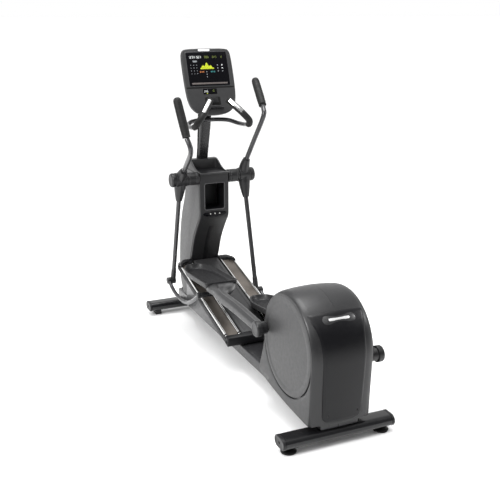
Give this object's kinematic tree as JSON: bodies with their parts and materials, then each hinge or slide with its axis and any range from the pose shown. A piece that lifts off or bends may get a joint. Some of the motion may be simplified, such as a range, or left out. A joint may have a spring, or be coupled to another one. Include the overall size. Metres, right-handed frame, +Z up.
{
  "type": "elliptical trainer",
  "caption": "Free-standing elliptical trainer: rear round drive housing, sloping twin-rail ramp with roller-borne foot trays, swinging arms on a central tower, and a tilted console.",
  "frame": {"origin": "on the floor under the middle of the whole machine, halfway between its rearmost and foremost points", "axes": "+Z up, +Y along the machine towards the console, the way the user faces, +X to the user's right"},
  "size_m": [0.6495, 2.0514, 1.7266],
  "materials": {
    "gunmetal_paint": "satin",
    "satin_black_paint": "semi-gloss",
    "charcoal_plastic": "matte, fine grain",
    "grey_plastic": "matte, fine grain",
    "black_plastic": "satin",
    "black_rubber": "matte",
    "bare_steel": "turned",
    "stainless_rail": "polished",
    "cast_iron": "as cast",
    "display_glass": "gloss"
  },
  "bodies": {
    "frame": {"main_frame": "gunmetal_paint", "rear_foot_bar": "satin_black_paint", "front_foot_bar": "satin_black_paint", "rear_bar_cap_left": "black_plastic", "rear_bar_cap_right": "black_plastic", "front_bar_cap_left": "black_plastic", "front_bar_cap_right": "black_plastic", "ramp_deck": "charcoal_plastic", "ramp_centre_cover": "charcoal_plastic", "left_roller_track": "stainless_rail", "right_roller_track": "stainless_rail", "left_housing": "charcoal_plastic", "right_housing": "charcoal_plastic", "housing_rear_panel": "black_plastic", "drive_support": "gunmetal_paint", "brake_magnet": "cast_iron", "drive_belt": "black_rubber", "tower_post": "gunmetal_paint", "tower_rear_cover": "charcoal_plastic", "tower_front_cover": "grey_plastic", "left_tower_panel": "grey_plastic", "right_tower_panel": "grey_plastic", "top_tray": "charcoal_plastic", "hub_cross_tube": "charcoal_plastic", "left_hub_cap": "charcoal_plastic", "right_hub_cap": "charcoal_plastic", "mast": "satin_black_paint", "console_back_shell": "charcoal_plastic", "console_face": "charcoal_plastic", "display_lens": "display_glass", "fixed_handlebar": "satin_black_paint", "left_sensor_grip": "black_rubber", "right_sensor_grip": "black_rubber"},
    "crank": {"crank_axle_pulley": "bare_steel", "left_crank_disc": "grey_plastic", "right_crank_disc": "grey_plastic"},
    "flywheel_set": {"flywheel": "cast_iron", "flywheel_shaft": "bare_steel"},
    "left_arm": {"left_arm_hub": "charcoal_plastic", "left_upper_tube": "gunmetal_paint", "left_arm_grip": "black_rubber", "left_lower_tube": "gunmetal_paint"},
    "left_link": {"left_link_bar": "gunmetal_paint"},
    "left_carriage": {"left_roller_axle": "bare_steel"},
    "left_pedal": {"left_pedal_arm": "charcoal_plastic", "left_footpad": "charcoal_plastic"},
    "left_wheel_set": {"left_roller": "black_rubber"},
    "left_foot": {"rear_left_levelling_foot": "black_rubber"},
    "left_floor_wheel": {"left_transport_wheel": "black_rubber"},
    "right_arm": {"right_arm_hub": "charcoal_plastic", "right_upper_tube": "gunmetal_paint", "right_arm_grip": "black_rubber", "right_lower_tube": "gunmetal_paint"},
    "right_link": {"right_link_bar": "gunmetal_paint"},
    "right_carriage": {"right_roller_axle": "bare_steel"},
    "right_pedal": {"right_pedal_arm": "charcoal_plastic", "right_footpad": "charcoal_plastic"},
    "right_wheel_set": {"right_roller": "black_rubber"},
    "right_foot": {"rear_right_levelling_foot": "black_rubber"},
    "right_floor_wheel": {"right_transport_wheel": "black_rubber"}
  },
  "joints": [
    {"name": "crank_spin", "type": "hinge", "parent": "frame", "child": "crank", "pos_m": [0, -0.74735, 0.424], "axis": [1, 0, 0], "continuous": true},
    {"name": "flywheel_spin", "type": "hinge", "parent": "frame", "child": "flywheel_set", "pos_m": [0, -0.59535, 0.25], "axis": [1, 0, 0], "continuous": true},
    {"name": "left_arm_swing", "type": "hinge", "parent": "frame", "child": "left_arm", "pos_m": [0, 0.59065, 0.975], "axis": [1, 0, 0], "range_deg": [-32.06, 0]},
    {"name": "right_arm_swing", "type": "hinge", "parent": "frame", "child": "right_arm", "pos_m": [0, 0.59065, 0.975], "axis": [1, 0, 0], "range_deg": [0, 32.06]},
    {"name": "left_link_pivot", "type": "hinge", "parent": "left_arm", "child": "left_link", "pos_m": [0, 0.78947, 0.283], "axis": [1, 0, 0], "range_deg": [0, 41.56]},
    {"name": "left_roller_travel", "type": "slide", "parent": "frame", "child": "left_carriage", "axis": [0, 0.9688, 0.248], "range_m": [-0.4155, 0]},
    {"name": "left_pedal_tilt", "type": "hinge", "parent": "left_carriage", "child": "left_pedal", "pos_m": [0, 0.47465, 0.37356], "axis": [1, 0, 0], "range_deg": [-3.05, 0]},
    {"name": "left_roller_spin", "type": "hinge", "parent": "left_carriage", "child": "left_wheel_set", "pos_m": [0, 0.47465, 0.37356], "axis": [1, 0, 0], "range_deg": [0, 793.39]},
    {"name": "right_link_pivot", "type": "hinge", "parent": "right_arm", "child": "right_link", "pos_m": [0, 0.39183, 0.283], "axis": [1, 0, 0], "range_deg": [-41.56, 0]},
    {"name": "right_roller_travel", "type": "slide", "parent": "frame", "child": "right_carriage", "axis": [0, 0.9688, 0.248], "range_m": [0, 0.4155]},
    {"name": "right_pedal_tilt", "type": "hinge", "parent": "right_carriage", "child": "right_pedal", "pos_m": [0, 0.07221, 0.27054], "axis": [1, 0, 0], "range_deg": [0, 3.05]},
    {"name": "right_roller_spin", "type": "hinge", "parent": "right_carriage", "child": "right_wheel_set", "pos_m": [0, 0.07221, 0.27054], "axis": [1, 0, 0], "range_deg": [-793.39, 0]},
    {"name": "left_foot_height", "type": "slide", "parent": "frame", "child": "left_foot", "axis": [0, 0, 1], "range_m": [-0.008, 0]},
    {"name": "left_floor_wheel_spin", "type": "hinge", "parent": "frame", "child": "left_floor_wheel", "pos_m": [-0.257, 1.00265, 0.0125], "axis": [1, 0, 0], "continuous": true},
    {"name": "right_foot_height", "type": "slide", "parent": "frame", "child": "right_foot", "axis": [0, 0, 1], "range_m": [-0.008, 0]},
    {"name": "right_floor_wheel_spin", "type": "hinge", "parent": "frame", "child": "right_floor_wheel", "pos_m": [0.257, 1.00265, 0.0125], "axis": [1, 0, 0], "continuous": true}
  ],
  "couplings": [
    {"joint": "flywheel_spin", "follows": "crank_spin", "ratio": 5.8333},
    {"joint": "right_arm_swing", "follows": "left_arm_swing", "ratio": -1},
    {"joint": "left_link_pivot", "follows": "left_arm_swing", "ratio": -1.2963},
    {"joint": "left_roller_travel", "follows": "left_arm_swing", "m_per_rad": 0.74241},
    {"joint": "left_pedal_tilt", "follows": "left_arm_swing", "ratio": 0.095003},
    {"joint": "left_roller_spin", "follows": "left_arm_swing", "ratio": -24.747},
    {"joint": "right_link_pivot", "follows": "left_arm_swing", "ratio": 1.2963},
    {"joint": "right_roller_travel", "follows": "left_arm_swing", "m_per_rad": -0.74241},
    {"joint": "right_pedal_tilt", "follows": "left_arm_swing", "ratio": -0.095003},
    {"joint": "right_roller_spin", "follows": "left_arm_swing", "ratio": 24.747}
  ]
}
